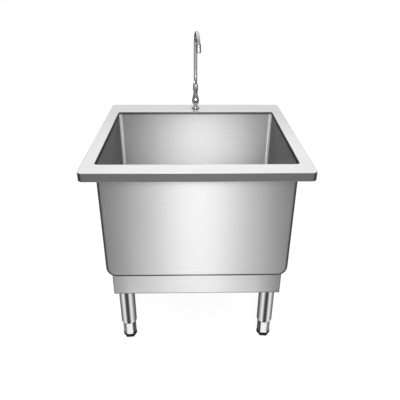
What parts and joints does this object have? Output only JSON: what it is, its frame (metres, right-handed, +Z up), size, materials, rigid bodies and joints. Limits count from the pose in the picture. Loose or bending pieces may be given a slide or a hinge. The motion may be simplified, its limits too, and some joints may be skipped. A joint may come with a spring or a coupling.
{
  "type": "utility laundry sink",
  "caption": "Free-standing deep stainless sink with folded rim, base frame, levelling legs, basket drain and gooseneck tap.",
  "frame": {"origin": "on the floor, under the middle of the square rim", "axes": "+Z up, -Y to the front where the user stands, +X to the user's right"},
  "size_m": [0.6, 0.6, 0.892],
  "materials": {
    "brushed_sheet": "brushed",
    "polished_tube": "polished",
    "tap_chrome": "polished",
    "zinc_steel": "zinc plated",
    "cast_socket": "zinc plated",
    "drain_steel": "satin",
    "foot_steel": "polished",
    "black_rubber": "matte",
    "fibre": "matte",
    "white_plastic": "satin",
    "dark_metal": "oxidised"
  },
  "bodies": {
    "root": {"rim_deck": "brushed_sheet", "tub": "brushed_sheet", "base_frame": "brushed_sheet", "corner_gussets": "brushed_sheet", "bearer_left": "brushed_sheet", "bearer_right": "brushed_sheet", "socket_screws": "zinc_steel", "leg_set_screws": "dark_metal", "strainer_body": "drain_steel", "strainer_outlet": "drain_steel", "strainer_gasket": "black_rubber", "friction_ring": "fibre", "strainer_locknut": "cast_socket", "tailpiece": "tap_chrome", "tailpiece_washer": "black_rubber", "tailpiece_nut": "tap_chrome", "tap_base_ring": "tap_chrome", "tap_base_gasket": "black_rubber", "tap_body": "tap_chrome", "tap_grub_screws": "dark_metal", "tap_cartridge": "white_plastic", "cartridge_nut": "tap_chrome", "spout_nut": "tap_chrome", "spout_seals": "black_rubber", "tap_shank": "tap_chrome", "backing_plate": "brushed_sheet", "shank_rubber_washer": "black_rubber", "shank_steel_washer": "zinc_steel", "shank_nut": "zinc_steel", "leg_socket_fl": "cast_socket", "leg_tube_fl": "polished_tube", "foot_insert_fl": "zinc_steel", "leg_socket_fr": "cast_socket", "leg_tube_fr": "polished_tube", "foot_insert_fr": "zinc_steel", "leg_socket_bl": "cast_socket", "leg_tube_bl": "polished_tube", "foot_insert_bl": "zinc_steel", "leg_socket_br": "cast_socket", "leg_tube_br": "polished_tube", "foot_insert_br": "zinc_steel"},
    "spout": {"spout_tube": "tap_chrome", "spout_nozzle": "tap_chrome", "aerator_insert": "white_plastic"},
    "lever": {"tap_lever": "tap_chrome", "lever_screw_cap": "dark_metal"},
    "basket": {"strainer_basket": "drain_steel", "basket_stopper": "black_rubber", "basket_post": "drain_steel"},
    "pad_fl": {"foot_pad_fl": "black_rubber"},
    "foot_fl": {"foot_fl": "foot_steel"},
    "pad_fr": {"foot_pad_fr": "black_rubber"},
    "foot_fr": {"foot_fr": "foot_steel"},
    "pad_bl": {"foot_pad_bl": "black_rubber"},
    "foot_bl": {"foot_bl": "foot_steel"},
    "pad_br": {"foot_pad_br": "black_rubber"},
    "foot_br": {"foot_br": "foot_steel"}
  },
  "joints": [
    {"name": "spout_swivel", "type": "hinge", "parent": "root", "child": "spout", "pos_m": [0, 0.252, 0.728], "axis": [0, 0, 1], "continuous": true},
    {"name": "lever_turn", "type": "hinge", "parent": "root", "child": "lever", "pos_m": [0, 0.2333, 0.6586], "axis": [0, -1, 0], "range_deg": [0, 90]},
    {"name": "basket_lift", "type": "slide", "parent": "root", "child": "basket", "axis": [0, 0, 1], "range_m": [0, 0.42]},
    {"name": "foot_travel_fl", "type": "slide", "parent": "root", "child": "pad_fl", "axis": [0, 0, -1], "range_m": [-0.01, 0.02]},
    {"name": "foot_turn_fl", "type": "hinge", "parent": "pad_fl", "child": "foot_fl", "pos_m": [-0.2195, -0.198, 0.03], "axis": [0, 0, -1], "range_deg": [-1801, 3601]},
    {"name": "foot_travel_fr", "type": "slide", "parent": "root", "child": "pad_fr", "axis": [0, 0, -1], "range_m": [-0.01, 0.02]},
    {"name": "foot_turn_fr", "type": "hinge", "parent": "pad_fr", "child": "foot_fr", "pos_m": [0.2195, -0.198, 0.03], "axis": [0, 0, -1], "range_deg": [-1801, 3601]},
    {"name": "foot_travel_bl", "type": "slide", "parent": "root", "child": "pad_bl", "axis": [0, 0, -1], "range_m": [-0.01, 0.02]},
    {"name": "foot_turn_bl", "type": "hinge", "parent": "pad_bl", "child": "foot_bl", "pos_m": [-0.2195, 0.164, 0.03], "axis": [0, 0, -1], "range_deg": [-1801, 3601]},
    {"name": "foot_travel_br", "type": "slide", "parent": "root", "child": "pad_br", "axis": [0, 0, -1], "range_m": [-0.01, 0.02]},
    {"name": "foot_turn_br", "type": "hinge", "parent": "pad_br", "child": "foot_br", "pos_m": [0.2195, 0.164, 0.03], "axis": [0, 0, -1], "range_deg": [-1801, 3601]}
  ],
  "couplings": [
    {"joint": "foot_turn_fl", "follows": "foot_travel_fl", "rad_per_m": 3141.6},
    {"joint": "foot_turn_fr", "follows": "foot_travel_fr", "rad_per_m": 3141.6},
    {"joint": "foot_turn_bl", "follows": "foot_travel_bl", "rad_per_m": 3141.6},
    {"joint": "foot_turn_br", "follows": "foot_travel_br", "rad_per_m": 3141.6}
  ]
}
